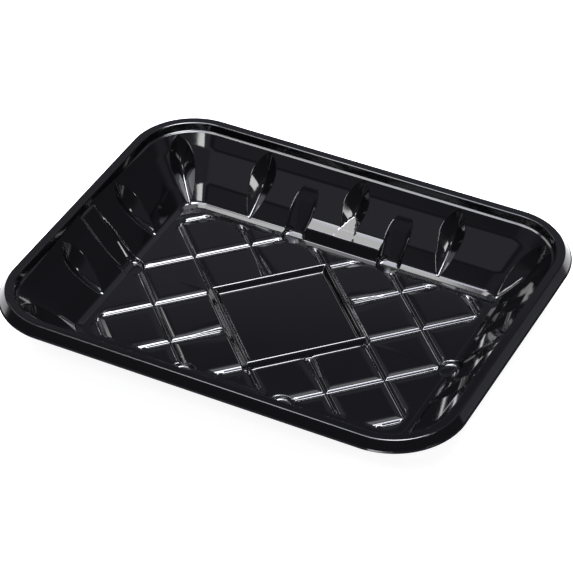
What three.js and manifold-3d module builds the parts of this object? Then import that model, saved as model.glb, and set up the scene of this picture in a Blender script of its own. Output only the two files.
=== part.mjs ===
// Black plastic meat tray, formed from one thin sheet: a flat rim with a turned-down skirt, a short neck
// below it, faceted sloping walls pressed into flutes, six hollow feet, and a raised floor with a lattice of
// grooves round a diamond of ridges.
// Millimetres, +Z up. The origin is the middle of the ground that the six feet stand on.
import * as THREE from "three";
import { mergeVertices } from "three/addons/utils/BufferGeometryUtils.js";
import Module from "manifold-3d";

// Driving dimensions
const SHEET = 0.6;                    // thickness of the formed sheet
const DEPTH = 29.1;                   // from the top of the rim down to the floor
const FLOOR_Z = 2.4;                  // upper face of the floor, above the ground
const RIM_Z = FLOOR_Z + DEPTH;
const RIM = { halfLength: 111.3, halfWidth: 86.8, corner: 31.6 };    // at the rim's outer top edge
const FLOOR = { halfLength: 80, halfWidth: 52.5, corner: 8 };
const LENGTH_GAIN = 0.8947;           // growth of the half length for each mm that the half width grows
const CORNER_GAIN = 0.6246;           // the same for the corner radius
const FLANGE_WIDTH = 4.55;            // the flat top of the rim
const NECK = { inset: 5.3, depth: 3.8 };                             // foot of the steep band below the flange
const SKIRT = { drop: 4.6, flare: 2.3 };                             // the turned-down apron of the rim
const LIP = { width: 0.6, drop: 0.2 };                               // its trimmed edge, turned outwards

// The wall as distance beyond the floor and height above it: a low ledge, then three facets
const WALL_PROFILE = [[1.85, 0], [4.75, 0.73], [11.26, 8], [23, 19.5], [27.4, 24.5]];
const WALL_RUNS = [1.85, 4.75, 7.2, 10.25, 11.26, 13.6, 16, 18.4, 20.8, 23, 25.4, 27.4];

// A flute is a V pressed outwards along a bowed line from the floor to the top of the wall
const FLUTE = { from: 4.3, to: 27.4, depth: 4.4, sideSlope: 1.15, tip: 0.3, aboveTip: 2.6 };
const FLUTE_LEAN = THREE.MathUtils.degToRad(46.4);
const FLUTE_ROOM = 6.2;               // sideways, from a flute's middle to the next station
const FLUTE_X = [0, 50];              // along each long wall
const FLUTE_Y = 25;                   // along each short wall; there is one on each corner too

// A hollow foot: a pocket pressed down through the wall, upright in front and sloping behind
const FOOT_X = 25;                    // the two feet of a long wall; a short wall has one at its middle
const FOOT = { halfWidth: 6.1, draft: 0.02, height: 18, bottomRound: 1.2 };
const FOOT_REACH = 3.3;               // how far the pocket reaches into the floor
const FOOT_BACK = { start: 2.7, radius: 5.8, angle: THREE.MathUtils.degToRad(53) };

// The raised step between the two feet of a long wall, as distance beyond the floor and height
const STEP_PROFILE = [[1.5, 0], [3, 2.6], [4.6, 5.35], [10.25, 6.76]];
const STEP_SLOPE = 0.25;

const LATTICE_STEP = 39.6;            // side of a lattice square, measured along X or Y
const GROOVE = { depth: 1.1, bottom: 0.35, edge: 1.6 };              // half widths at the bottom and the top
const GROOVE_WIDENING = { width: 0.9, length: 15 };                  // of the middle grooves, at the diamond
const RIDGE = { rise: 2.6, crown: 0.7, edge: 2.4 };                  // round the diamond
const GROOVE_END = { corner: 3.4, side: 5.4 };                       // clear of the diamond's middle line
const FLOOR_MARGIN = 2.8;             // between the end of a groove and the edge of the floor

// Stations round one quarter of a ring: along the short wall, round the corner, then along the long wall
const SHORT_STATIONS = [0, 7, 13];
const SHORT_CORE = 33;                // up to here a station keeps its Y on every ring
const LONG_STATIONS = [12, 18, 22, 28, 32, 38];
const LONG_CORE = 61;                 // up to here a station keeps its X on every ring
const CORNER_SHARES = [0.8, 0.6, 0.48, 0.36, 0.24, 0.12, 0];

const { lerp } = THREE.MathUtils;

// Height of a line of straight stretches, given as [along, height] pairs
function heightOn(profile, along) {
  const next = Math.max(1, profile.findIndex(([at], index) => at >= along || index === profile.length - 1));
  const [[fromRun, fromHeight], [toRun, toHeight]] = [profile[next - 1], profile[next]];
  return lerp(fromHeight, toHeight, (along - fromRun) / (toRun - fromRun));
}

const wallHeight = (run) => heightOn(WALL_PROFILE, run);

// How far a flute is pressed outwards at its middle, and the line of that middle
function fluteSwing(run) {
  const share = (run - FLUTE.from) / (FLUTE.to - FLUTE.from);
  return share > 0 && share < 1 ? FLUTE.depth * Math.sin(Math.PI * share) : 0;
}

function fluteSpine() {
  const steps = 120;
  return Array.from({ length: steps + 1 }, (_, step) => {
    const run = lerp(FLUTE.from, FLUTE.to, step / steps);
    const swing = fluteSwing(run);
    return [run + swing * Math.sin(FLUTE_LEAN), wallHeight(run) - swing * Math.cos(FLUTE_LEAN)];
  });
}

const SPINE = fluteSpine();

// Half the width of a flute's mouth at one ring; never quite closed, so that its stations stay apart
function fluteHalf(run) {
  if (run <= FLUTE.from || run >= FLUTE.to) return FLUTE.tip;
  return Math.max(FLUTE.tip, (wallHeight(run) - heightOn(SPINE, run)) / FLUTE.sideSlope);
}

// The rings of the tray's upper face, from the floor's edge to the trimmed lip
function makeRings() {
  const rings = WALL_RUNS.map((run, level) => ({
    run,
    halfLength: FLOOR.halfLength + LENGTH_GAIN * run,
    halfWidth: FLOOR.halfWidth + run,
    corner: FLOOR.corner + CORNER_GAIN * run,
    z: FLOOR_Z + wallHeight(run),
    step: STEP_PROFILE[level],
    half: fluteHalf(run),
  }));
  const addRing = (inset, depth) => rings.push({
    halfLength: RIM.halfLength - inset,
    halfWidth: RIM.halfWidth - inset,
    corner: RIM.corner - inset,
    z: RIM_Z - depth,
    half: FLUTE.aboveTip,
  });
  addRing(NECK.inset + 1, NECK.depth + 0.2);
  addRing(NECK.inset, NECK.depth - 0.1);
  addRing(FLANGE_WIDTH + 0.2, 0.8);
  addRing(FLANGE_WIDTH - 0.5, 0);
  addRing(0.6, 0);
  addRing(-0.1, 0.6);
  addRing(-SKIRT.flare, SKIRT.drop);
  addRing(-SKIRT.flare - LIP.width, SKIRT.drop + LIP.drop);
  return rings;
}

// Stations of the first quarter, in order from +X round to +Y. A core station keeps one coordinate; a
// corner station is a share of the way from the middle of the corner's arc. A flute's three stations ride
// on its two edges and its middle.
function makeStations() {
  const flute = (wall, at) => [-1, 0, 1].map((edge) => ({ wall, at, edge }));
  const plain = (wall, places) => places.map((at) => ({ wall, at }));
  const corner = (side) => CORNER_SHARES.map((share) => ({ wall: "corner", share, side }));
  const longWall = [
    ...flute("long", FLUTE_X[0]).slice(1),
    ...plain("long", [FLUTE_ROOM, ...LONG_STATIONS, FLUTE_X[1] - FLUTE_ROOM]),
    ...flute("long", FLUTE_X[1]),
    ...plain("long", [FLUTE_X[1] + FLUTE_ROOM, LONG_CORE]),
  ];
  return [
    ...plain("short", [...SHORT_STATIONS, FLUTE_Y - FLUTE_ROOM]),
    ...flute("short", FLUTE_Y),
    ...plain("short", [FLUTE_Y + FLUTE_ROOM, SHORT_CORE]),
    ...corner(-1),
    ...flute("corner", 0),
    ...corner(1).reverse(),
    ...longWall.reverse(),
  ];
}

// Where a station of the first quarter lies on a ring, with the direction that points out of the tray
function placeOnRing(station, ring) {
  const straightX = ring.halfLength - ring.corner;
  const straightY = ring.halfWidth - ring.corner;
  const along = (station.at ?? 0) + (station.edge ?? 0) * ring.half;
  if (station.wall === "short") return { x: ring.halfLength, y: along, outX: 1, outY: 0 };
  if (station.wall === "long") return { x: along, y: ring.halfWidth, outX: 0, outY: 1 };
  const arcHalf = ring.corner * Math.PI / 4;
  let distance = along;
  if (station.side) {
    const reach = (station.side < 0 ? straightY - SHORT_CORE : straightX - LONG_CORE) + arcHalf;
    distance = station.side * lerp(Math.min(FLUTE_ROOM, reach * 0.4), reach, station.share);
  }
  if (distance < -arcHalf) return { x: ring.halfLength, y: straightY + distance + arcHalf, outX: 1, outY: 0 };
  if (distance > arcHalf) return { x: straightX - distance + arcHalf, y: ring.halfWidth, outX: 0, outY: 1 };
  const angle = Math.PI / 4 + distance / ring.corner;
  const outX = Math.cos(angle);
  const outY = Math.sin(angle);
  return { x: straightX + ring.corner * outX, y: straightY + ring.corner * outY, outX, outY };
}

// Where the middle of the flute at X = 0 meets the step's ledge
function spineOnLedge() {
  const [run, height] = STEP_PROFILE[STEP_PROFILE.length - 1];
  return SPINE.find(([at, rise]) => at > run && rise >= height + STEP_SLOPE * (at - run));
}

// One point of the upper face: the ring's point, taken to the step's profile or moved out by a flute
function skinPoint(station, ring) {
  const place = placeOnRing(station, ring);
  const stepped = station.wall === "long" && station.at < FOOT_X;
  const onMiddle = station.edge === 0;
  const ledgeEnd = spineOnLedge();
  if (stepped && ring.step) {
    const atLedge = onMiddle && ring.step === STEP_PROFILE[STEP_PROFILE.length - 1];
    const [run, rise] = atLedge ? ledgeEnd : ring.step;
    return new THREE.Vector3(place.x, FLOOR.halfWidth + run, FLOOR_Z + rise);
  }
  const swing = onMiddle && ring.run ? fluteSwing(ring.run) : 0;
  const outward = swing * Math.sin(FLUTE_LEAN);
  const spot = new THREE.Vector3(
    place.x + place.outX * outward,
    place.y + place.outY * outward,
    ring.z - swing * Math.cos(FLUTE_LEAN));
  if (stepped && onMiddle && ring.run && spot.z < FLOOR_Z + ledgeEnd[1]) {
    spot.set(place.x, FLOOR.halfWidth + ledgeEnd[0], FLOOR_Z + ledgeEnd[1]);
  }
  return spot;
}

// All four quarters of every ring, as one grid of points
function makeSkin() {
  const stations = makeStations();
  const mirrored = (point, signX, signY) => new THREE.Vector3(point.x * signX, point.y * signY, point.z);
  return makeRings().map((ring) => {
    const quarter = stations.map((station) => skinPoint(station, ring));
    const inner = quarter.slice(1, -1);
    const backward = [...inner].reverse();
    return [
      ...quarter,
      ...backward.map((point) => mirrored(point, -1, 1)),
      mirrored(quarter[0], -1, 1),
      ...inner.map((point) => mirrored(point, -1, -1)),
      mirrored(quarter[quarter.length - 1], -1, -1),
      ...backward.map((point) => mirrored(point, 1, -1)),
    ];
  });
}

// The lower face: the same grid, one sheet thickness away along the smoothed normals
function offsetSkin(skin) {
  const count = skin[0].length;
  return skin.map((ring, level) => ring.map((point, index) => {
    if (level === 0) return point.clone().setZ(point.z - SHEET);
    const above = skin[Math.min(level + 1, skin.length - 1)][index];
    const up = above.clone().sub(point).normalize();
    const climb = point.clone().sub(skin[level - 1][index]).normalize().add(up);
    const along = ring[(index + 1) % count].clone().sub(ring[(index + count - 1) % count]);
    return point.clone().addScaledVector(climb.cross(along).normalize(), -SHEET);
  }));
}

// Triangles between neighbouring rings of a grid, and a flat cap over one ring
function wallFaces(ringCount, count, start, flip) {
  const faces = [];
  for (let level = 0; level < ringCount - 1; level += 1) {
    for (let index = 0; index < count; index += 1) {
      const a = start + level * count + index;
      const b = start + level * count + (index + 1) % count;
      const c = a + count;
      const d = b + count;
      if (flip) faces.push(a, d, c, a, b, d);
      else faces.push(a, c, d, a, d, b);
    }
  }
  return faces;
}

function capFaces(ring, start, flip) {
  const outline = ring.map((point) => new THREE.Vector2(point.x, point.y));
  return THREE.ShapeUtils.triangulateShape(outline, [])
    .flatMap(([a, b, c]) => (flip ? [start + a, start + c, start + b] : [start + a, start + b, start + c]));
}

function indexedGeometry(points, faces) {
  const geometry = new THREE.BufferGeometry();
  const positions = points.flatMap((point) => point.toArray());
  geometry.setAttribute("position", new THREE.Float32BufferAttribute(positions, 3));
  geometry.setIndex(faces);
  return geometry;
}

// Closes the two skins and the two faces of the floor into one thin body
function makeShell(skin) {
  const under = offsetSkin(skin);
  const count = skin[0].length;
  const underStart = skin.length * count;
  const lip = underStart - count;
  const faces = [
    ...wallFaces(skin.length, count, 0, false),
    ...wallFaces(skin.length, count, underStart, true),
    ...capFaces(skin[0], 0, false),
    ...capFaces(under[0], underStart, true),
  ];
  for (let index = 0; index < count; index += 1) {
    const next = (index + 1) % count;
    const below = underStart + lip;
    faces.push(lip + index, below + index, below + next, lip + index, below + next, lip + next);
  }
  return indexedGeometry([...skin.flat(), ...under.flat()], faces);
}

// The room inside the tray, from just inside the sheet up to the neck
function makeRoom(skin) {
  const rings = skin.filter((ring) => ring[0].z < RIM_Z - NECK.depth - 0.1);
  const count = rings[0].length;
  const top = (rings.length - 1) * count;
  const faces = [
    ...wallFaces(rings.length, count, 0, true),
    ...capFaces(rings[0], 0, true),
    ...capFaces(rings[rings.length - 1], top, false),
  ];
  return indexedGeometry(rings.flat(), faces).translate(0, 0, -SHEET / 3);
}

const wasm = await Module();
wasm.setup();

function toSolid(geometry) {
  const bare = geometry.clone();
  bare.deleteAttribute("normal");
  bare.deleteAttribute("uv");
  const merged = mergeVertices(bare, 1e-4);
  return new wasm.Manifold(new wasm.Mesh({
    numProp: 3,
    vertProperties: new Float32Array(merged.attributes.position.array),
    triVerts: new Uint32Array(merged.index.array),
  }));
}

function toGeometry(solid) {
  const mesh = solid.getMesh();
  const geometry = new THREE.BufferGeometry();
  geometry.setAttribute("position", new THREE.Float32BufferAttribute(mesh.vertProperties, 3));
  geometry.setIndex(Array.from(mesh.triVerts));
  return geometry;
}

// Outline of a foot's pocket on the long wall at X = 0: a half circle in front, rounded corners behind
function footOutline(front, back, halfWidth, corner, z) {
  const points = [];
  for (let step = 0; step <= 10; step += 1) {
    const angle = Math.PI * step / 10;
    const side = Math.sign(Math.cos(angle)) * (halfWidth - corner);
    points.push([halfWidth * Math.cos(angle), front + halfWidth - halfWidth * Math.sin(angle), z]);
    points.push([side + corner * Math.cos(angle), back - corner + corner * Math.sin(angle), z]);
  }
  return points;
}

// Back end of the pocket at a height above its bottom: a round fillet, then a slope
function footBack(up) {
  const { radius, angle, start } = FOOT_BACK;
  const turnHeight = radius * (1 - Math.cos(angle));
  const low = Math.min(Math.max(up, 0), turnHeight);
  const slope = Math.max(up - turnHeight, 0) / Math.tan(angle);
  return FLOOR.halfWidth + start + Math.sqrt(2 * radius * low - low * low) + slope;
}

// One pocket of a foot, grown outwards by grow
function footPocket(grow) {
  const front = FLOOR.halfWidth - FOOT_REACH;
  const bottom = SHEET - grow;
  const sections = [0, 0.3, 0.75, FOOT.bottomRound, 2.3, 4.5, 9, FOOT.height].flatMap((up) => {
    const low = Math.max(FOOT.bottomRound - up, 0);
    const inset = FOOT.bottomRound - Math.sqrt(FOOT.bottomRound ** 2 - low ** 2);
    const half = FOOT.halfWidth + FOOT.draft * (up - 8) + grow - inset;
    const corner = half * Math.min(0.95, Math.max(0.45, 0.95 - 0.05 * up));
    const back = footBack(up) + grow * (up > 1 ? 1.25 : 0.7) - inset;
    return footOutline(front - grow + inset - FOOT.draft * up, back, half, corner, bottom + up);
  });
  return wasm.Manifold.hull(sections);
}

// The same pocket in its six places
function allFeet(grow) {
  const pocket = footPocket(grow);
  const shift = FLOOR.halfLength - FLOOR.halfWidth;
  return wasm.Manifold.union([
    pocket.translate([FOOT_X, 0, 0]),
    pocket.translate([-FOOT_X, 0, 0]),
    pocket.rotate([0, 0, 180]).translate([FOOT_X, 0, 0]),
    pocket.rotate([0, 0, 180]).translate([-FOOT_X, 0, 0]),
    pocket.rotate([0, 0, -90]).translate([shift, 0, 0]),
    pocket.rotate([0, 0, 90]).translate([-shift, 0, 0]),
  ]);
}

// A straight bar between two plan points, with sloping sides and ends. Its half widths are given at both
// heights; the widths at the far end may be larger by widen.
function bar([from, to, widen = 0], halves, heights) {
  const along = new THREE.Vector2(to[0] - from[0], to[1] - from[1]).normalize();
  const corners = halves.flatMap((half, level) => [[from, -half, half + widen], [to, half, half]].flatMap(
    ([end, past, width]) => [-1, 1].map((side) => [
      end[0] + along.x * past - along.y * side * width,
      end[1] + along.y * past + along.x * side * width,
      heights[level],
    ])));
  return wasm.Manifold.hull(corners);
}

// The part of a lattice line that lies on the floor, from the distance start along it. A line runs at 45
// degrees: across is its distance from the middle of the tray, along is measured from there.
function latticePiece(across, start, signs) {
  const [signX, signY] = signs;
  const root = Math.SQRT2;
  const limitX = (FLOOR.halfLength - FLOOR_MARGIN) * root - across;
  const limitY = (FLOOR.halfWidth - FLOOR_MARGIN) * root + across;
  const end = Math.min(limitX, limitY);
  const point = (along) => [signX * (along + across) / root, signY * (along - across) / root];
  return [point(start), point(end)];
}

// Every groove as a line: from the diamond outwards, and the outer ones right across
function grooveLines() {
  const lines = [];
  const diagonal = LATTICE_STEP / Math.SQRT2;
  for (const signs of [[1, 1], [-1, 1], [-1, -1], [1, -1]]) {
    const [middleFrom, middleTo] = latticePiece(0, diagonal + GROOVE_END.side, signs);
    const share = GROOVE_WIDENING.length / Math.hypot(middleTo[0] - middleFrom[0], middleTo[1] - middleFrom[1]);
    const narrow = [lerp(middleFrom[0], middleTo[0], share), lerp(middleFrom[1], middleTo[1], share)];
    lines.push([middleFrom, narrow, GROOVE_WIDENING.width], [narrow, middleTo]);
    lines.push(latticePiece(diagonal, diagonal + GROOVE_END.corner, signs));
    lines.push(latticePiece(-diagonal, diagonal + GROOVE_END.corner, signs));
    lines.push(latticePiece(2 * diagonal, 2 * diagonal - (FLOOR.halfWidth - FLOOR_MARGIN) * Math.SQRT2, signs));
  }
  return lines;
}

function diamondSides() {
  const tip = LATTICE_STEP;
  return [[1, 1], [-1, 1], [-1, -1], [1, -1]].map(([x, y]) => [[x * tip, 0], [0, y * tip]]);
}

const unite = (lines, halves, heights) => wasm.Manifold.union(lines.map((line) => bar(line, halves, heights)));

// The grooves' room, or with grow the body that the sheet makes round it
function grooves(grow) {
  const top = grow > 0 ? FLOOR_Z - SHEET / 2 : FLOOR_Z + 1;
  const slope = (GROOVE.edge - GROOVE.bottom) / GROOVE.depth;
  const bottom = FLOOR_Z - GROOVE.depth - grow;
  const low = GROOVE.bottom + grow * 0.7;
  return unite(grooveLines(), [low, low + slope * (top - bottom)], [bottom, top]);
}

// The diamond's ridge, or with shrink the hollow under it
function diamond(shrink) {
  const slope = (RIDGE.edge - RIDGE.crown) / RIDGE.rise;
  const top = FLOOR_Z + RIDGE.rise - shrink;
  const bottom = shrink > 0 ? -1 : FLOOR_Z - SHEET / 2;
  const high = RIDGE.crown - shrink * 0.6;
  return unite(diamondSides(), [high, high + slope * (top - bottom)], [top, bottom]);
}

// The feet and the grooves are pressed down and the diamond is pressed up, so all are hollow
const skin = makeSkin();
const footWalls = allFeet(SHEET).subtract(toSolid(makeRoom(skin)));
const formed = toSolid(makeShell(skin))
  .add(footWalls)
  .add(grooves(SHEET))
  .add(diamond(0))
  .subtract(diamond(SHEET))
  .subtract(grooves(0))
  .subtract(allFeet(0));

const black = new THREE.MeshStandardMaterial({ color: 0x08080a, roughness: 0.12, metalness: 0 });
const tray = new THREE.Mesh(toGeometry(formed.simplify(0.01)), black);
tray.name = "tray";

const model = new THREE.Group();
model.add(tray);
export default model;
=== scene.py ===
"""Glossy black formed-sheet meat tray on white paper, lit by soft panels and a bright sky."""

import math

import bpy
import numpy as np
from mathutils import Matrix, Vector, geometry


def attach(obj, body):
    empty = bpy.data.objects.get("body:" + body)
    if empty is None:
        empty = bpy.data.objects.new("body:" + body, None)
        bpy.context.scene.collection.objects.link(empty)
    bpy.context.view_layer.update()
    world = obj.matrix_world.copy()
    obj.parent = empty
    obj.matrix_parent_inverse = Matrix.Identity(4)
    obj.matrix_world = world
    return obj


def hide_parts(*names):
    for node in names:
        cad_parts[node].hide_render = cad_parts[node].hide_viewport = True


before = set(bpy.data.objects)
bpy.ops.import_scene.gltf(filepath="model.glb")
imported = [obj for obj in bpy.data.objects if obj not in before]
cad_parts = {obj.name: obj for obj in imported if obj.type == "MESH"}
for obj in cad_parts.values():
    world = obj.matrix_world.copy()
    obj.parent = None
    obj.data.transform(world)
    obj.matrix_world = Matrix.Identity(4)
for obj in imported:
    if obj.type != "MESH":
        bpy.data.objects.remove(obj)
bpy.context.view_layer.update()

MM = 0.001

# ---- Shape of the tray, in millimetres; heights are above the flat of the floor ----
FAR, TINY = 99.0, 1e-9          # further than anything in the tray, and a guard against dividing by zero
SHEET = 0.5                     # thickness of the formed sheet
GROUND = -2.4                   # what the feet stand on
FLOOR_LENGTH, FLOOR_WIDTH, FLOOR_CORNER = 80.0, 52.5, 8.0     # half sizes of the floor, and its corner radius
LENGTH_GAIN = 0.8947            # how much the half length grows for each mm that the half width grows
CORNER_GAIN = 0.6246            # the same for the corner radius
RIM_LENGTH, RIM_WIDTH, RIM_CORNER = 111.3, 86.8, 31.6
DEPTH = 29.1
JOIN_RUN = 27.7                 # the inside is meshed in plan up to here, and the rim in rings from here on

# Facets of the wall: (distance beyond the floor, height, slope), and how softly each meets the one before
LEDGE, LEDGE_BLEND = (1.85, 0.0, 0.25), 0.08
LOWER_FACET, LOWER_BLEND = (4.75, 0.73, 1.117), 0.6
MIDDLE_FACET, MIDDLE_BLEND = (11.26, 8.0, 0.98), 0.1
UPPER_FACET, UPPER_BLEND = (23.0, 19.5, 1.136), 0.12

FLUTE_X, FLUTE_Y = (0.0, 50.0), 25.0
FLUTE_START, FLUTE_END = 4.3, 27.4      # distances beyond the floor where a flute's two tips lie
FLUTE_DEPTH = 4.4                       # square to the wall
FLUTE_LEAN = math.radians(46.4)         # slope of the wall as a whole
FLUTE_SIDE, FLUTE_BOTTOM, FLUTE_EDGE = 1.15, 0.9, 0.3     # slope of its sides, its rounding, its edge blend
SPINE_STEPS = 800

FOOT_X = 25.0
FOOT_HALF, FOOT_DRAFT = 6.1, 0.02
FOOT_FRONT = 49.2               # distance of the pocket's front from the middle of the tray, at the floor
FOOT_BACK = 55.2                # where the flat bottom of the pocket ends
FOOT_BACK_RADIUS, FOOT_BACK_ANGLE = 5.8, math.radians(53)
FOOT_TOP = 17.5
FOOT_WIDTH_LEVEL = 6            # height at which the pocket is twice FOOT_HALF wide
FOOT_ROUND = 1.6                # radius between the pocket's sides and its bottom
FOOT_LIP = 1.0                  # blend where the pocket opens into the wall
FOOT_OVERLAP = 0.01             # keeps the pocket's two round ends from parting
FOOT_CORNER, FOOT_CORNER_LOSS, FOOT_CORNER_LEAST = 0.95, 0.05, 0.45    # back corners' share of half the width
SHORT_SHIFT = FLOOR_LENGTH - FLOOR_WIDTH

STEP_FACE, STEP_LEDGE = (1.5, 0.0, 1.726), (4.6, 5.35, 0.25)      # the step between a long wall's feet
STEP_BLEND, STEP_TOP_BLEND = 0.8, 1.4       # the second as a multiple of the first
STEP_END = 20                               # distance beyond the floor from which the wall is plain again

LATTICE = 39.6                  # side of a lattice square, measured along X or Y
DIAGONAL = LATTICE / math.sqrt(2)
RIB_INSET, RIB_FADE = 1.6, 1.5  # the ribs end this far inside the floor's edge, and fade over this far
DIAMOND_CLEARANCE, DIAMOND_FADE = 0.6, 0.9      # where the grooves fade out beside the ridge
GROOVE = {"depth": 0.95, "bottom": 0.2, "edge": 1.25, "bottom_blend": 0.2, "lip_blend": 0.2}
GROOVE_WIDENING, WIDENING_LENGTH = 1.3, 15.0    # a shallow recess widens the middle grooves at the diamond
RECESS_DEPTH, RECESS_BLEND = 0.3, 0.2
GROOVE_END = 4.4                # a middle groove ends this far from the line of the diamond's ridge
RIDGE = {"rise": 2.8, "crown": 0.45, "edge": 2.35, "foot_blend": 0.7, "top_blend": 0.8}
PILLOW, PILLOW_SPREAD = 0.2, 1.5                # the floor rolls down a little towards every groove


def soft_min(a, b, k):
    """The smaller of two heights, with the corner between them rounded over k."""
    h = np.maximum(k - np.abs(a - b), 0)
    return np.minimum(a, b) - h * h / (4 * k)


def soft_max(a, b, k):
    return -soft_min(-a, -b, k)


def ring_corner(run):
    return FLOOR_CORNER + CORNER_GAIN * run


def ring_centre(run):
    """Centre of the corner's arc on the ring that lies run beyond the flat of the floor."""
    cx = FLOOR_LENGTH + LENGTH_GAIN * run - ring_corner(run)
    cy = FLOOR_WIDTH + run - ring_corner(run)
    return cx, cy


def run_at(x, y):
    """How far beyond the flat of the floor the ring through a plan point lies, for x, y >= 0."""
    run = np.maximum(y - FLOOR_WIDTH, (x - FLOOR_LENGTH) / LENGTH_GAIN)
    dx = x - (FLOOR_LENGTH - FLOOR_CORNER)
    dy = y - (FLOOR_WIDTH - FLOOR_CORNER)
    gain_x, gain_y = LENGTH_GAIN - CORNER_GAIN, 1 - CORNER_GAIN
    a = gain_x ** 2 + gain_y ** 2 - CORNER_GAIN ** 2
    b = gain_x * dx + gain_y * dy + FLOOR_CORNER * CORNER_GAIN
    c = dx * dx + dy * dy - FLOOR_CORNER ** 2
    arc = c / (b + np.sqrt(np.maximum(b * b - a * c, TINY)))
    cx, cy = ring_centre(arc)
    in_corner = (x > cx) & (y > cy) & (dx > 0) & (dy > 0)
    return np.where(in_corner, arc, run)


def facet(run, line):
    start, height, slope = line
    return height + slope * (run - start)


def facets(run):
    """The three sloping facets of the wall, without the floor and its ledge."""
    low = soft_min(facet(run, LOWER_FACET), facet(run, MIDDLE_FACET), MIDDLE_BLEND)
    return soft_max(low, facet(run, UPPER_FACET), UPPER_BLEND)


def wall_height(run):
    edge = soft_max(facet(run, LEDGE), facets(run), LOWER_BLEND)
    return soft_max(edge, 0 * run, LEDGE_BLEND)


def step_height(run):
    """The wall between the two feet of a long wall, with its raised step."""
    top = soft_max(facet(run, STEP_LEDGE), facets(run), STEP_BLEND * STEP_TOP_BLEND)
    return soft_max(soft_min(facet(run, STEP_FACE), top, STEP_BLEND), 0 * run, STEP_BLEND)


def flute_spine():
    """The flute's lowest line: the wall's own line, swung outwards between its two tips."""
    share = np.linspace(0, 1, SPINE_STEPS + 1)
    run = FLUTE_START + (FLUTE_END - FLUTE_START) * share
    swing = FLUTE_DEPTH * np.sin(np.pi * share)
    return run + swing * math.sin(FLUTE_LEAN), wall_height(run) - swing * math.cos(FLUTE_LEAN)


SPINE_RUN, SPINE_HEIGHT = flute_spine()


def flute_offset(x, y, run):
    """Distance sideways from the nearest flute's middle line, and whether that flute is the one at X = 0."""
    cx, cy = ring_centre(run)
    turn = np.arctan2(y - cy, np.maximum(x - cx, TINY))
    corner = np.where((x > cx) & (y > cy), np.abs(ring_corner(run) * (turn - np.pi / 4)), FAR)
    on_long = y - FLOOR_WIDTH > (x - FLOOR_LENGTH) / LENGTH_GAIN
    offsets = [np.where(on_long, np.abs(x - at), FAR) for at in FLUTE_X]
    offsets += [np.where(on_long, FAR, np.abs(y - FLUTE_Y)), corner]
    return np.minimum.reduce(offsets), on_long & (x < FOOT_X)


def flute_height(x, y, run):
    offset, middle = flute_offset(x, y, run)
    spine = np.interp(run, SPINE_RUN, SPINE_HEIGHT)
    groove = spine + FLUTE_SIDE * (np.sqrt(offset ** 2 + FLUTE_BOTTOM ** 2) - FLUTE_BOTTOM)
    groove = np.where(middle, soft_max(groove, facet(run, STEP_LEDGE), FLUTE_EDGE), groove)
    inside = (run > FLUTE_START) & (run < FLUTE_END)
    return np.where(inside, groove, FAR)


def flute_half(run):
    """Half the width of a flute at one distance beyond the floor."""
    gap = wall_height(np.array([run]))[0] - np.interp(run, SPINE_RUN, SPINE_HEIGHT)
    return max(gap, 0.0) / FLUTE_SIDE + FLUTE_BOTTOM if FLUTE_START < run < FLUTE_END else 0.0


FOOT_HEADROOM, HALVINGS = 14.0, 34          # search range above FOOT_TOP, and its number of halvings


def foot_height(u, v):
    """Height of a foot's pocket at u beside and v out from the middle of the long wall."""
    low = np.full(u.shape, GROUND + SHEET)
    high = np.full(u.shape, FOOT_TOP + FOOT_HEADROOM)
    floor = low.copy()
    for _ in range(HALVINGS):
        mid = (low + high) / 2
        inside = foot_section(u, v, mid) < 0
        high = np.where(inside, mid, high)
        low = np.where(inside, low, mid)
    return np.where(foot_section(u, v, floor + 1e-6) < 0, floor, high)


def foot_back(up):
    """Back end of the pocket at a height above its bottom: a round fillet, then a slope."""
    turn_height = FOOT_BACK_RADIUS * (1 - math.cos(FOOT_BACK_ANGLE))
    turn_run = FOOT_BACK_RADIUS * math.sin(FOOT_BACK_ANGLE)
    low = np.clip(up, 0, turn_height)
    fillet = np.sqrt(2 * FOOT_BACK_RADIUS * low - low ** 2)
    slope = turn_run + (up - turn_height) / math.tan(FOOT_BACK_ANGLE)
    return FOOT_BACK + np.where(up < turn_height, fillet, slope)


def foot_section(u, v, z):
    """Signed distance to the pocket's outline at height z: round in front, and round behind."""
    up = z - (GROUND + SHEET)
    bottom = np.clip(FOOT_ROUND - up, 0, FOOT_ROUND)
    inset = FOOT_ROUND - np.sqrt(np.maximum(FOOT_ROUND ** 2 - bottom ** 2, 0))
    half = FOOT_HALF + FOOT_DRAFT * (z - FOOT_WIDTH_LEVEL) - inset
    front = FOOT_FRONT - FOOT_DRAFT * z + inset
    back = foot_back(up)
    front_round = half
    back_round = half * np.clip(FOOT_CORNER - FOOT_CORNER_LOSS * up, FOOT_CORNER_LEAST, FOOT_CORNER)
    back_middle = np.maximum(back - back_round, front + front_round - FOOT_OVERLAP)
    mid_v = np.clip(v, front + front_round, back_middle)
    behind = v > back_middle
    radius = np.where(behind, np.minimum(back - back_middle, half), front_round)
    side = np.where(behind, half - radius, 0.0)
    du = np.maximum(np.abs(u) - side, 0)
    return np.hypot(du, v - mid_v) - radius


def groove_depth(distance, widening):
    """Cross section of a groove: narrow bottom, sloping sides, a shallow recess beside it and a soft lip."""
    slope = GROOVE["depth"] / (GROOVE["edge"] - GROOVE["bottom"])
    ramp = slope * (GROOVE["edge"] - distance)
    low = soft_min(ramp, GROOVE["depth"] + 0 * ramp, GROOVE["bottom_blend"])
    recess = soft_min(ramp + slope * widening, RECESS_DEPTH + 0 * ramp, RECESS_BLEND)
    low = soft_max(low, recess, RECESS_BLEND)
    edge = GROOVE["edge"] + widening
    roll = PILLOW * np.exp(-(np.maximum(distance - edge, 0) / PILLOW_SPREAD) ** 2)
    return soft_max(low, 0 * ramp, GROOVE["lip_blend"]) + roll * np.clip(distance / edge, 0, 1)


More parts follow.
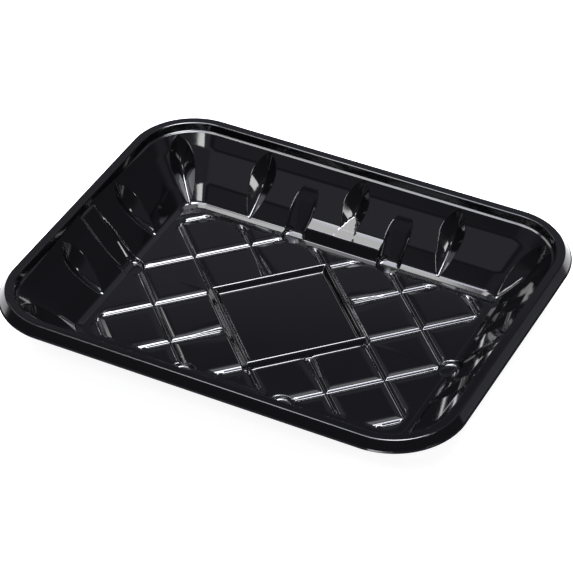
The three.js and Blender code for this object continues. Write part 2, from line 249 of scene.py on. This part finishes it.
def ridge_height(distance):
    """Cross section of the diamond's ridge: narrow crown, steep sides and rounded edges."""
    ramp = RIDGE["rise"] / (RIDGE["edge"] - RIDGE["crown"]) * (RIDGE["edge"] - distance)
    top = soft_min(ramp, RIDGE["rise"] + 0 * ramp, RIDGE["top_blend"])
    return soft_max(top, 0 * ramp, RIDGE["foot_blend"])


def rib_height(x, y):
    """Height of the lattice on the floor, for x, y >= 0: grooves, and a ridge round the diamond."""
    p, q = (x + y) / math.sqrt(2), (x - y) / math.sqrt(2)
    edge = np.minimum(FLOOR_WIDTH - RIB_INSET - y, FLOOR_LENGTH - RIB_INSET - x)
    p_line = np.abs(p - DIAGONAL * np.maximum(np.round(p / DIAGONAL), 2))
    q_line = np.abs(q - DIAGONAL * np.round(q / DIAGONAL))
    middle = np.abs(q) < DIAGONAL / 2
    reach = np.where(middle, p - DIAGONAL - GROOVE_END, FAR)
    widening = np.where(middle, GROOVE_WIDENING * np.clip(1 - reach / WIDENING_LENGTH, 0, 1), 0.0)
    q_line = np.where(reach < 0, np.hypot(q_line, reach), q_line)
    grooves = np.maximum(groove_depth(p_line, 0.0), groove_depth(q_line, widening))
    diamond = np.abs(p - DIAGONAL)
    side = np.abs(q) - DIAGONAL
    diamond = np.where(side > 0, np.hypot(diamond, side), diamond)
    ridge = ridge_height(diamond)
    apart = np.clip((diamond - RIDGE["edge"] + DIAMOND_CLEARANCE) / DIAMOND_FADE, 0, 1)
    return (ridge - grooves * apart) * np.clip(edge / RIB_FADE, 0, 1)


def walls_height(x, y, run):
    """Walls and floor with their flutes, before the ribs and the feet."""
    wall = np.where(x < FOOT_X, step_height(y - FLOOR_WIDTH), wall_height(run))
    wall = np.where(run > STEP_END, wall_height(run), wall)
    return soft_min(wall, flute_height(x, y, run), FLUTE_EDGE)


def inside_height(x, y):
    """Upper face of the tray, from the middle of the floor to the shoulder."""
    x, y = np.abs(x), np.abs(y)
    surface = walls_height(x, y, run_at(x, y)) + rib_height(x, y)
    surface = soft_min(surface, foot_height(x - FOOT_X, y), FOOT_LIP)
    return soft_min(surface, foot_height(y, x - SHORT_SHIFT), FOOT_LIP)


def inside_height_without_feet(x, y):
    x, y = np.abs(x), np.abs(y)
    return walls_height(x, y, run_at(x, y))


# ---- Plan points of one quarter ----
def spread(marks):
    """Values from (end, step) pairs, starting at the first end."""
    values = [marks[0][0]]
    for (start, _), (end, step) in zip(marks, marks[1:]):
        count = max(1, round((end - start) / step))
        values += list(start + (end - start) * (np.arange(count) + 1) / count)
    return np.array(values)


def around(centre, offsets, low, high):
    values = {round(centre + side * offset, 6) for offset in offsets for side in (-1, 1)}
    return [value for value in values if low <= value <= high]


FLUTE_OFFSETS = (0, 0.4, 0.8, 1.2, 1.8, 2.6, 3.4, 4.2, 5.0, 5.8, 6.6, 7.4)
LEVELS = spread((
    (-1.1, 1), (1.3, 0.4), (2.2, 0.18), (3.8, 0.5), (5.8, 0.25), (10, 0.7), (12.6, 0.4), (22, 0.95),
    (24, 0.4), (JOIN_RUN, 0.6)))
SHORT_CORE, LONG_CORE = 33.5, 60.0      # up to here a station keeps its Y or its X on every ring
STATION_STEP = 1.4
CORNER_CORE, CORNER_CORE_REACH = 8, 8.5     # room for the corner's flute, each side of its middle


def fill_in(values, step):
    """Adds evenly spaced values wherever two neighbours are further apart than step."""
    values = sorted(values)
    full = [values[0]]
    for low, high in zip(values, values[1:]):
        if high - low < 1e-6:
            continue
        count = math.ceil((high - low) / step)
        full += [low + (high - low) * k / count for k in range(1, count + 1)]
    return full


SHORT_STATIONS = fill_in([0, SHORT_CORE] + around(FLUTE_Y, FLUTE_OFFSETS, 0, SHORT_CORE), STATION_STEP)
LONG_STATIONS = fill_in([0, LONG_CORE] + around(0, FLUTE_OFFSETS, 0, FOOT_X)
                        + around(FLUTE_X[1], FLUTE_OFFSETS, FOOT_X, LONG_CORE), STATION_STEP)
CORNER_OFFSETS = fill_in([0, CORNER_CORE] + [o for o in FLUTE_OFFSETS if o < CORNER_CORE], STATION_STEP)
CORNER_PARTS = 26
CORNER_SHARES = np.linspace(0, 1, CORNER_PARTS + 1)[1:]


def quarter_stations(run=None, ring=None):
    """Plan points and outward directions of one quarter ring, from +X round to +Y."""
    if ring is None:
        ring = (FLOOR_LENGTH + LENGTH_GAIN * run, FLOOR_WIDTH + run, ring_corner(run))
    half_length, half_width, corner = ring
    cx, cy = half_length - corner, half_width - corner
    arc_half = corner * math.pi / 4
    rows = [(half_length, y, 1, 0) for y in SHORT_STATIONS]
    reach_low = cy - SHORT_CORE + arc_half
    reach_high = cx - LONG_CORE + arc_half
    along = [-(CORNER_CORE + (reach_low - CORNER_CORE) * share) for share in CORNER_SHARES[::-1]][1:]
    inner = [-o for o in CORNER_OFFSETS[::-1]] + list(CORNER_OFFSETS[1:])
    along += [o * min(1, reach_low / CORNER_CORE_REACH) for o in inner]
    along += [CORNER_CORE + (reach_high - CORNER_CORE) * share for share in CORNER_SHARES][:-1]
    rows += [corner_place(ring, s) for s in along]
    rows += [(x, half_width, 0, 1) for x in LONG_STATIONS[::-1]]
    return np.array(rows)


def corner_place(ring, s):
    """Plan point and outward direction at a distance along the ring from the middle of its corner."""
    half_length, half_width, corner = ring
    cx, cy = half_length - corner, half_width - corner
    arc_half = corner * math.pi / 4
    if s < -arc_half:
        return half_length, cy + s + arc_half, 1, 0
    if s > arc_half:
        return cx - (s - arc_half), half_width, 0, 1
    turn = math.pi / 4 + s / corner
    return cx + corner * math.cos(turn), cy + corner * math.sin(turn), math.cos(turn), math.sin(turn)


OUTLINE_OFFSETS = (-0.45, -0.2, 0.0, 0.2, 0.5)      # sideways from a flute's edge
WIDTH_SHARES = (0, 0.1, 0.25, 0.5, 0.75)            # between a flute's middle and its edge
OUTLINE_STEP, TIP_GAP = 0.45, 0.1                   # along a flute, and short of its tip
GRID_MARGIN, RIB_END_INSETS = 3.5, (1.6, 2.0, 2.4, 2.8, 3.2)     # distances in from the edge of the floor


def flute_points():
    """Plan points close to both edges of every flute."""
    points = []
    for run in spread(((FLUTE_START, 1), (FLUTE_END - TIP_GAP, OUTLINE_STEP))):
        half = flute_half(run)
        ring = (FLOOR_LENGTH + LENGTH_GAIN * run, FLOOR_WIDTH + run, ring_corner(run))
        offsets = [half + o for o in OUTLINE_OFFSETS] + [half * share for share in WIDTH_SHARES]
        for offset in offsets:
            if offset < 0:
                continue
            for side in (-1, 1):
                s = side * offset
                points.append(corner_place(ring, s)[:2])
                points.append((ring[0], FLUTE_Y + s))
                points.append((FLUTE_X[1] + s, ring[1]))
                points.append((abs(s), ring[1]))
    return np.array(points)


FOOT_ROOM = 1.9                             # kept free of other plan points round a foot


def near_foot(points):
    """Which plan points lie close to a foot's widest outline."""
    z = np.full(len(points), FOOT_TOP - 1.0)
    long_foot = foot_section(points[:, 0] - FOOT_X, points[:, 1], z) < FOOT_ROOM
    short_foot = foot_section(points[:, 1], points[:, 0] - SHORT_SHIFT, z) < FOOT_ROOM
    return long_foot | short_foot


FOOT_MIDDLE = 60.0                          # where the rays of a pocket start
FOOT_RAYS = 96                              # in a full turn
RAY_LENGTH, RAY_STEPS, RAY_GAP = 20, 2000, 0.035
RAY_INNER, RAY_LEAST = (1.2, 2.6), 0.4      # fixed points of every ray, and the least distance of others
FOOT_LEVELS = np.concatenate([              # heights of the pocket at which a ray has points
    GROUND + SHEET + np.array([0.002, 0.06, 0.16, 0.32, 0.55, 0.85, 1.2, 1.6]),
    np.arange(0.4, FOOT_TOP - 1, 1.15)])
RIM_GAPS = (-1.5, -1.0, -0.5, 0)            # height of the pocket over the wall, inside its rim
RIM_OFFSETS = (0.12, 0.3, 0.55, 0.9, 1.4, 2.0)      # distances beyond its rim


def ray_lengths(place, direction):
    """Where one ray of a pocket has its points."""
    lengths = np.linspace(0, RAY_LENGTH, RAY_STEPS + 1)
    u, v = lengths * direction[0], FOOT_MIDDLE + lengths * direction[1]
    pocket = foot_height(u, v)
    gap = pocket - inside_height_without_feet(*place(u, v))
    rim = lengths[np.argmax(gap > 0)]
    found = list(RAY_INNER)
    for height in FOOT_LEVELS:
        below = np.nonzero(pocket < height)[0]
        if len(below) == 0:
            continue
        # A ray to the front first comes down to the pocket's bottom, then climbs its front
        found += [at for at in (lengths[below[0]], lengths[below[-1]]) if RAY_LEAST < at < rim]
    found += [lengths[np.argmax(gap > height)] for height in RIM_GAPS]
    found += [rim + offset for offset in RIM_OFFSETS]
    found = sorted(set(np.round(found, 3)))
    kept = [found[0]]
    for length in found[1:]:
        if length - kept[-1] > RAY_GAP:
            kept.append(length)
    return kept


def foot_points(place, half_turn):
    """Plan points of one pocket, along rays from its middle: all round, or on the side with u >= 0."""
    turn = math.pi if half_turn else 2 * math.pi
    count = FOOT_RAYS // 2 if half_turn else FOOT_RAYS
    angles = np.linspace(0, turn, count + 1)[:count + half_turn]
    points = []
    for angle in angles:
        direction = np.array([math.cos(angle), math.sin(angle)])
        if half_turn:
            direction = direction[::-1]
        points += [place(length * direction[0], FOOT_MIDDLE + length * direction[1])
                   for length in ray_lengths(place, direction)]
    points.append(place(0.0, FOOT_MIDDLE))
    return np.array(points, float)


LINE_OFFSETS = (0, 0.2, 0.45, 0.7, 0.95, 1.15, 1.35, 1.6, 1.85, 2.1, 2.4, 2.7, 3.1, 3.5, 4.1, 5.0)
LINES_EACH_WAY, LINE_LIMIT, LINE_GAP = 4, 96, 3.2
AXIS_MARGIN, GRID_LIMIT = 0.25, -1.3        # the grid keeps off the middle planes, and off the floor's edge


def floor_points():
    """Grid along both diagonals, close together across each rib."""
    lines = {round(index * DIAGONAL + side * offset, 5) for offset in LINE_OFFSETS for side in (1, -1)
             for index in range(-LINES_EACH_WAY, LINES_EACH_WAY + 1)}
    lines = np.array(fill_in([line for line in lines if abs(line) < LINE_LIMIT], LINE_GAP))
    p, q = np.meshgrid(lines, lines)
    points = np.stack([(p + q).ravel(), (p - q).ravel()], 1) / math.sqrt(2)
    edge = np.minimum(FLOOR_LENGTH - points[:, 0], FLOOR_WIDTH - points[:, 1])
    points = points[edge > GRID_MARGIN]
    # Where the ribs fade out, the grid's lines are cut at even distances from the floor's edge instead
    for inset in RIB_END_INSETS:
        x, y = FLOOR_LENGTH - inset, FLOOR_WIDTH - inset
        for sign in (-1, 1):
            points = np.concatenate([points, [(x, sign * (line * math.sqrt(2) - x)) for line in lines],
                                     [(line * math.sqrt(2) - sign * y, y) for line in lines]])
    keep = (points[:, 0] > AXIS_MARGIN) & (points[:, 1] > AXIS_MARGIN)
    keep &= run_at(points[:, 0], points[:, 1]) < GRID_LIMIT
    return points[keep]


AXIS_OFFSETS, AXIS_GAP = (-2.5, -1.7, -1.0, 0, 1.0, 1.7, 2.5), 2.6      # on a middle plane, across a rib
AXIS_END_X, AXIS_END_Y = FLOOR_LENGTH - 6, FLOOR_WIDTH - 1


def axis_points():
    """Plan points on the two middle planes, where quarters of the floor meet."""
    cuts = [k * LATTICE + o * math.sqrt(2) for k in range(3) for o in AXIS_OFFSETS]
    on_x = fill_in([v for v in cuts if 0 <= v < AXIS_END_X] + [0], AXIS_GAP)
    on_y = fill_in([v for v in cuts if 0 <= v < AXIS_END_Y] + [0], AXIS_GAP)
    return np.array([(x, 0.0) for x in on_x] + [(0.0, y) for y in on_y[1:]])


# Distance snapped to a middle plane, distance joined by the mesher, and twice the area of a dropped triangle
NEARLY_ZERO, WELD, SLIVER = 1e-4, 1e-5, 1e-7
PLAN_DECIMALS, WELD_DECIMALS = 3, 4         # to which plan points, then the tray's points, are told apart


def quarter_plan():
    """Every plan point of the first quarter."""
    ring = quarter_stations(run=JOIN_RUN)[:, :2]
    walls = np.concatenate([quarter_stations(run=level)[:, :2] for level in LEVELS[:-1]])
    field = np.concatenate([walls, floor_points(), flute_points()])
    axes = axis_points()
    long_foot = foot_points(lambda u, v: (FOOT_X + u, v), False)
    short_foot = foot_points(lambda u, v: (SHORT_SHIFT + v, u), True)
    points = np.concatenate([ring, axes[~near_foot(axes)], short_foot, long_foot, field[~near_foot(field)]])
    points[np.abs(points) < NEARLY_ZERO] = 0.0
    _, first = np.unique(np.round(points, PLAN_DECIMALS), axis=0, return_index=True)
    first.sort()
    return points[first]


def plan_mesh():
    """The first quarter in plan, as triangles that all turn the same way."""
    points = [Vector(point) for point in quarter_plan()]
    result = geometry.delaunay_2d_cdt(points, [], [], 0, WELD)
    coords = np.array([tuple(v) for v in result[0]])
    faces = np.array([tuple(f) for f in result[2]])
    a, b, c = coords[faces[:, 0]], coords[faces[:, 1]], coords[faces[:, 2]]
    area = (b[:, 0] - a[:, 0]) * (c[:, 1] - a[:, 1]) - (b[:, 1] - a[:, 1]) * (c[:, 0] - a[:, 0])
    faces = np.where((area < 0)[:, None], faces[:, ::-1], faces)
    return coords, faces[np.abs(area) > SLIVER]


def plan_normals(coords):
    """Normals of the upper face, from its slopes over a short step."""
    step = 0.01
    x, y = coords[:, 0], coords[:, 1]
    slope_x = (inside_height(x + step, y) - inside_height(x - step, y)) / (2 * step)
    slope_y = (inside_height(x, y + step) - inside_height(x, y - step)) / (2 * step)
    normals = np.stack([-slope_x, -slope_y, np.ones(len(x))], 1)
    return normals / np.linalg.norm(normals, axis=1)[:, None]


# ---- Rim: rounded profile in (run, height), carried round the ring ----
ARC_STEP = 0.22                             # radians


def rounded(corners):
    """A polyline with its corners replaced by arcs. corners are (run, height, radius)."""
    path = [np.array(corners[0][:2], float)]
    for before, here, after in zip(corners, corners[1:], corners[2:]):
        p, a, b = (np.array(c[:2], float) for c in (here, before, after))
        to_a, to_b = (a - p) / np.linalg.norm(a - p), (b - p) / np.linalg.norm(b - p)
        half = math.acos(np.clip(to_a @ to_b, -1, 1)) / 2
        reach = here[2] / math.tan(half)
        centre = p + (to_a + to_b) / np.linalg.norm(to_a + to_b) * here[2] / math.sin(half)
        start, end = p + to_a * reach, p + to_b * reach
        a0 = math.atan2(*(start - centre)[::-1])
        turn = (math.atan2(*(end - centre)[::-1]) - a0 + math.pi) % (2 * math.pi) - math.pi
        count = max(2, round(abs(turn) / ARC_STEP))
        for k in range(count + 1):
            angle = a0 + turn * k / count
            path.append(centre + here[2] * np.array([math.cos(angle), math.sin(angle)]))
    path.append(np.array(corners[-1][:2], float))
    return np.array(path)


EDGE = RIM_WIDTH - FLOOR_WIDTH
JOIN_HEIGHT = float(facets(np.array([JOIN_RUN]))[0])
RIM_PROFILE = rounded([
    (JOIN_RUN, JOIN_HEIGHT, 0),
    (EDGE - 6.35, DEPTH - 4.1, 0.3),
    (EDGE - 5.3, DEPTH - 3.8, 0.4),
    (EDGE - 4.55, DEPTH, 0.8),
    (EDGE - 0.35, DEPTH, 0.7),
    (EDGE + 2.3, DEPTH - 4.2, 0.35),
    (EDGE + 2.95, DEPTH - 4.75, 0),
])


RIM_INSET = 5.8                             # closer to the edge than this, a ring follows the rim's outline


def ring_of(run):
    """Half length, half width and corner radius of the ring at a distance beyond the floor."""
    inset = EDGE - run
    if inset > RIM_INSET:
        return (FLOOR_LENGTH + LENGTH_GAIN * run, FLOOR_WIDTH + run, ring_corner(run))
    return (RIM_LENGTH - inset, RIM_WIDTH - inset, RIM_CORNER - inset)


def profile_normals(profile):
    tangent = np.gradient(profile, axis=0)
    normal = np.stack([-tangent[:, 1], tangent[:, 0]], 1)
    return normal / np.linalg.norm(normal, axis=1)[:, None]


def rim_mesh():
    """Quarter of the rim as a grid of points and normals, without the joining ring itself."""
    slopes = profile_normals(RIM_PROFILE)
    grid, normals = [], []
    for (run, height), (out, up) in zip(RIM_PROFILE, slopes):
        rows = quarter_stations(ring=ring_of(run))
        grid.append(np.column_stack([rows[:, :2], np.full(len(rows), height)]))
        normals.append(np.column_stack([rows[:, 2] * out, rows[:, 3] * out, np.full(len(rows), up)]))
    return np.array(grid), np.array(normals)


def quarter_skin():
    coords, faces = plan_mesh()
    heights = inside_height(coords[:, 0], coords[:, 1])
    inner = np.column_stack([coords, heights])
    inner_normals = plan_normals(coords)
    grid, grid_normals = rim_mesh()
    levels, count = grid.shape[:2]
    start = len(inner)
    points = np.concatenate([inner, grid.reshape(-1, 3)])
    normals = np.concatenate([inner_normals, grid_normals.reshape(-1, 3)])
    # The first row of the grid takes the heights and normals of the plan mesh's own edge
    edge = points[start:start + count]
    edge[:, 2] = inside_height(edge[:, 0], edge[:, 1])
    normals[start:start + count] = plan_normals(edge)
    rows = np.arange(levels - 1)[:, None] * count + np.arange(count - 1)[None, :] + start
    rows = rows.ravel()
    quads = np.stack([rows, rows + count, rows + count + 1, rows + 1], 1)
    lip = start + (levels - 1) * count + np.arange(count)
    return points, normals, faces, quads, lip


def whole_tray():
    """Both faces of the sheet, all four quarters, welded into one closed mesh."""
    points, normals, faces, quads, lip = quarter_skin()
    count = len(points)
    under = points - normals * SHEET
    both = np.concatenate([points, under])
    both_normals = np.concatenate([normals, -normals])
    lip_quads = np.stack([lip[:-1], lip[:-1] + count, lip[1:] + count, lip[1:]], 1)
    triangles = np.concatenate([faces, faces[:, ::-1] + count])
    fours = np.concatenate([quads, quads[:, ::-1] + count, lip_quads])
    all_points, all_normals, all_triangles, all_fours = [], [], [], []
    for sign_x, sign_y in ((1, 1), (-1, 1), (-1, -1), (1, -1)):
        signs = np.array([sign_x, sign_y, 1])
        offset = len(all_points) * len(both)
        all_points.append(both * signs)
        all_normals.append(both_normals * signs)
        turned = sign_x * sign_y < 0
        all_triangles.append((triangles[:, ::-1] if turned else triangles) + offset)
        all_fours.append((fours[:, ::-1] if turned else fours) + offset)
    points = np.concatenate(all_points)
    normals = np.concatenate(all_normals)
    keys = np.round(points, WELD_DECIMALS) + 0.0
    _, first, inverse = np.unique(keys, axis=0, return_index=True, return_inverse=True)
    inverse = inverse.ravel()
    triangles = inverse[np.concatenate(all_triangles)]
    fours = inverse[np.concatenate(all_fours)]
    good = (triangles[:, 0] != triangles[:, 1]) & (triangles[:, 1] != triangles[:, 2])
    good &= triangles[:, 0] != triangles[:, 2]
    return points[first], normals[first], triangles[good], fours


def add_tray():
    points, normals, triangles, fours = whole_tray()
    points = points * MM
    points[:, 2] -= GROUND * MM
    mesh = bpy.data.meshes.new("tray_sheet")
    mesh.from_pydata(points.tolist(), [], triangles.tolist() + fours.tolist())
    mesh.polygons.foreach_set("use_smooth", np.ones(len(mesh.polygons), bool))
    mesh.normals_split_custom_set_from_vertices(normals.tolist())
    tray = bpy.data.objects.new("tray_sheet", mesh)
    bpy.context.scene.collection.objects.link(tray)
    return tray


# ---- Materials ----
PLASTIC_COLOUR, PLASTIC_IOR = (0.0012, 0.0012, 0.0015, 1), 1.5
PLASTIC_ROUGHNESS = (0.045, 0.095)
HAZE_SCALE, HAZE_DETAIL = 55, 4
PAPER_CENTRE = (-0.09, 0.03, 0)
PAPER_END = (0.30, 0.70)            # metres from there over which the paper's painted glow fades out and its colour darkens to a painted shade that stands for a dim room
# Near and far colour of the paper, and its painted glow. The glow is no lamp: it fills in the tray's shadow
# and shows in the tray's reflections. The darker far colour is painted shade.
PAPER_SHADE, ROOM_PAINTED_SHADE, PAPER_PAINTED_GLOW = 0.4, 0.1, 0.9
PAPER_ROUGHNESS, TABLE_SIZE = 0.6, 8


def principled(name):
    material = bpy.data.materials.new(name)
    material.use_nodes = True
    nodes = material.node_tree.nodes
    return material, nodes, material.node_tree.links, nodes["Principled BSDF"]


def black_plastic():
    material, nodes, links, shader = principled("black_plastic")
    shader.inputs["Base Color"].default_value = PLASTIC_COLOUR
    shader.inputs["IOR"].default_value = PLASTIC_IOR
    place = nodes.new("ShaderNodeTexCoord")
    haze = nodes.new("ShaderNodeTexNoise")
    haze.inputs["Scale"].default_value = HAZE_SCALE
    haze.inputs["Detail"].default_value = HAZE_DETAIL
    shine = nodes.new("ShaderNodeMapRange")
    shine.inputs["To Min"].default_value = PLASTIC_ROUGHNESS[0]
    shine.inputs["To Max"].default_value = PLASTIC_ROUGHNESS[1]
    links.new(place.outputs["Object"], haze.inputs["Vector"])
    links.new(haze.outputs["Fac"], shine.inputs["Value"])
    links.new(shine.outputs["Result"], shader.inputs["Roughness"])
    return material


def painted_light_table():
    """White paper with a painted glow that keeps it white in the tray's shadow, and a colour that darkens
    further out as painted shade for a dim room round it.
    """
    material, nodes, links, shader = principled("painted_light_table")
    shader.inputs["Roughness"].default_value = PAPER_ROUGHNESS
    shader.inputs["Emission Color"].default_value = (1, 1, 1, 1)
    place = nodes.new("ShaderNodeTexCoord")
    reach = nodes.new("ShaderNodeVectorMath")
    reach.operation = "LENGTH"
    links.new(place.outputs["Object"], reach.inputs[0])
    # Painted light: the paper glows near the tray, and its colour darkens far out as painted shade.
    painted_fades = {"Base Color": (PAPER_SHADE, ROOM_PAINTED_SHADE), "Emission Strength": (PAPER_PAINTED_GLOW, 0.0)}
    for name, (near, far) in painted_fades.items():
        painted_fade = nodes.new("ShaderNodeMapRange")
        painted_fade.interpolation_type = "SMOOTHSTEP"
        limits = {"From Min": PAPER_END[0], "From Max": PAPER_END[1], "To Min": near, "To Max": far}
        for limit, value in limits.items():
            painted_fade.inputs[limit].default_value = value
        links.new(reach.outputs["Value"], painted_fade.inputs["Value"])
        links.new(painted_fade.outputs["Result"], shader.inputs[name])
    return material


# ---- Camera and light ----
CAMERA_AIM = (0.0061, -0.0124, 0.0315)
CAMERA_AZIMUTH, CAMERA_ELEVATION, CAMERA_ROLL = 27.601, 39.226, -0.662
CAMERA_RANGE = 1.2323
CAMERA_LENS, CAMERA_SENSOR, CAMERA_FAR = 171.85, 36, 50

# The sky's curve: sine of the elevation, and fourth root of its share of the peak brightness
SKY_PEAK, SKY_POWER, SKY_COLOUR = 14.0, 4.0, (0.84, 0.845, 1.0, 1)
SKY_CURVE = (
    (0.0, 0.27), (0.42, 0.29), (0.54, 0.375), (0.635, 0.37), (0.65, 0.29), (0.68, 0.29), (0.695, 0.43),
    (0.75, 0.43), (0.78, 0.38), (0.9, 0.38), (0.93, 0.98), (1.0, 1.0))

# Soft panels round the tray: azimuth, elevation, width, height and radiance
PANEL_RANGE = 1.6
OVERHEAD_PLACE = (0.18, 0.08, PANEL_RANGE)
PANELS = {
    "overhead": (0, 90, 0.62, 0.82, 32),
    "back_left": (-131, 61.5, 0.34, 0.30, 9),
    "back_dim": (-158, 57, 0.32, 0.40, 2.0),
    "front": (10, 50.3, 0.68, 0.16, 13),
    "front_left": (-56, 64, 0.34, 0.28, 13),
    "right": (80, 31, 0.45, 0.13, 13),
    "back_corner": (-131, 47, 0.24, 0.34, 4),
}


def toward(azimuth, elevation):
    """Unit vector to a place at an azimuth turned from the front towards +X, and an elevation."""
    a, e = math.radians(azimuth), math.radians(elevation)
    return Vector((math.sin(a) * math.cos(e), -math.cos(a) * math.cos(e), math.sin(e)))


def add_camera():
    data = bpy.data.cameras.new("camera")
    data.lens = CAMERA_LENS
    data.sensor_width = CAMERA_SENSOR
    data.clip_end = CAMERA_FAR
    camera = bpy.data.objects.new("camera", data)
    bpy.context.scene.collection.objects.link(camera)
    way = toward(CAMERA_AZIMUTH, CAMERA_ELEVATION)
    turn = way.to_track_quat("Z", "Y").to_matrix()
    roll = Matrix.Rotation(math.radians(CAMERA_ROLL), 3, "Z")
    camera.matrix_world = Matrix.Translation(Vector(CAMERA_AIM) + way * CAMERA_RANGE) @ (turn @ roll).to_4x4()
    bpy.context.scene.camera = camera


def add_panel(name, azimuth, elevation, size_x, size_y, radiance):
    """A rectangular area light of an even brightness, facing the tray."""
    data = bpy.data.lights.new(name, "AREA")
    data.shape = "RECTANGLE"
    data.size, data.size_y = size_x, size_y
    data.energy = radiance * size_x * size_y * math.pi
    light = bpy.data.objects.new(name, data)
    bpy.context.scene.collection.objects.link(light)
    way = toward(azimuth, elevation)
    turn = way.to_track_quat("Z", "Y").to_matrix()
    light.matrix_world = Matrix.Translation(way * PANEL_RANGE) @ turn.to_4x4()
    return light


def add_world():
    """Dark near the horizon and brighter towards the ceiling."""
    world = bpy.data.worlds.new("studio")
    bpy.context.scene.world = world
    world.use_nodes = True
    nodes, links = world.node_tree.nodes, world.node_tree.links
    place = nodes.new("ShaderNodeTexCoord")
    parts = nodes.new("ShaderNodeSeparateXYZ")
    curve = nodes.new("ShaderNodeFloatCurve")
    links.new(place.outputs["Generated"], parts.inputs["Vector"])
    links.new(parts.outputs["Z"], curve.inputs["Value"])
    points = curve.mapping.curves[0].points
    points[0].location = (0.0, SKY_CURVE[0][1])
    points[-1].location = (1.0, SKY_CURVE[-1][1])
    for up, glow in SKY_CURVE[1:-1]:
        points.new(up, glow)
    for point in points:
        point.handle_type = "VECTOR"
    curve.mapping.update()
    nodes["Background"].inputs["Color"].default_value = SKY_COLOUR
    scale = nodes.new("ShaderNodeMath")
    scale.operation = "POWER"
    scale.inputs[1].default_value = SKY_POWER
    gain = nodes.new("ShaderNodeMath")
    gain.operation = "MULTIPLY"
    gain.inputs[1].default_value = SKY_PEAK
    links.new(curve.outputs["Value"], scale.inputs[0])
    links.new(scale.outputs["Value"], gain.inputs[0])
    links.new(gain.outputs["Value"], nodes["Background"].inputs["Strength"])


tray = add_tray()
tray.data.materials.append(black_plastic())
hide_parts("tray")
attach(tray, "root")

bpy.ops.mesh.primitive_plane_add(size=TABLE_SIZE, location=PAPER_CENTRE)
table = bpy.context.object
table.name = "table"
# The paper's material carries a painted glow near the tray and painted shade further out.
table.data.materials.append(painted_light_table())

bpy.context.scene.view_settings.view_transform = "Standard"
add_camera()
add_world()
panels = {name: add_panel(name, *values) for name, values in PANELS.items()}
panels["overhead"].location = OVERHEAD_PLACE
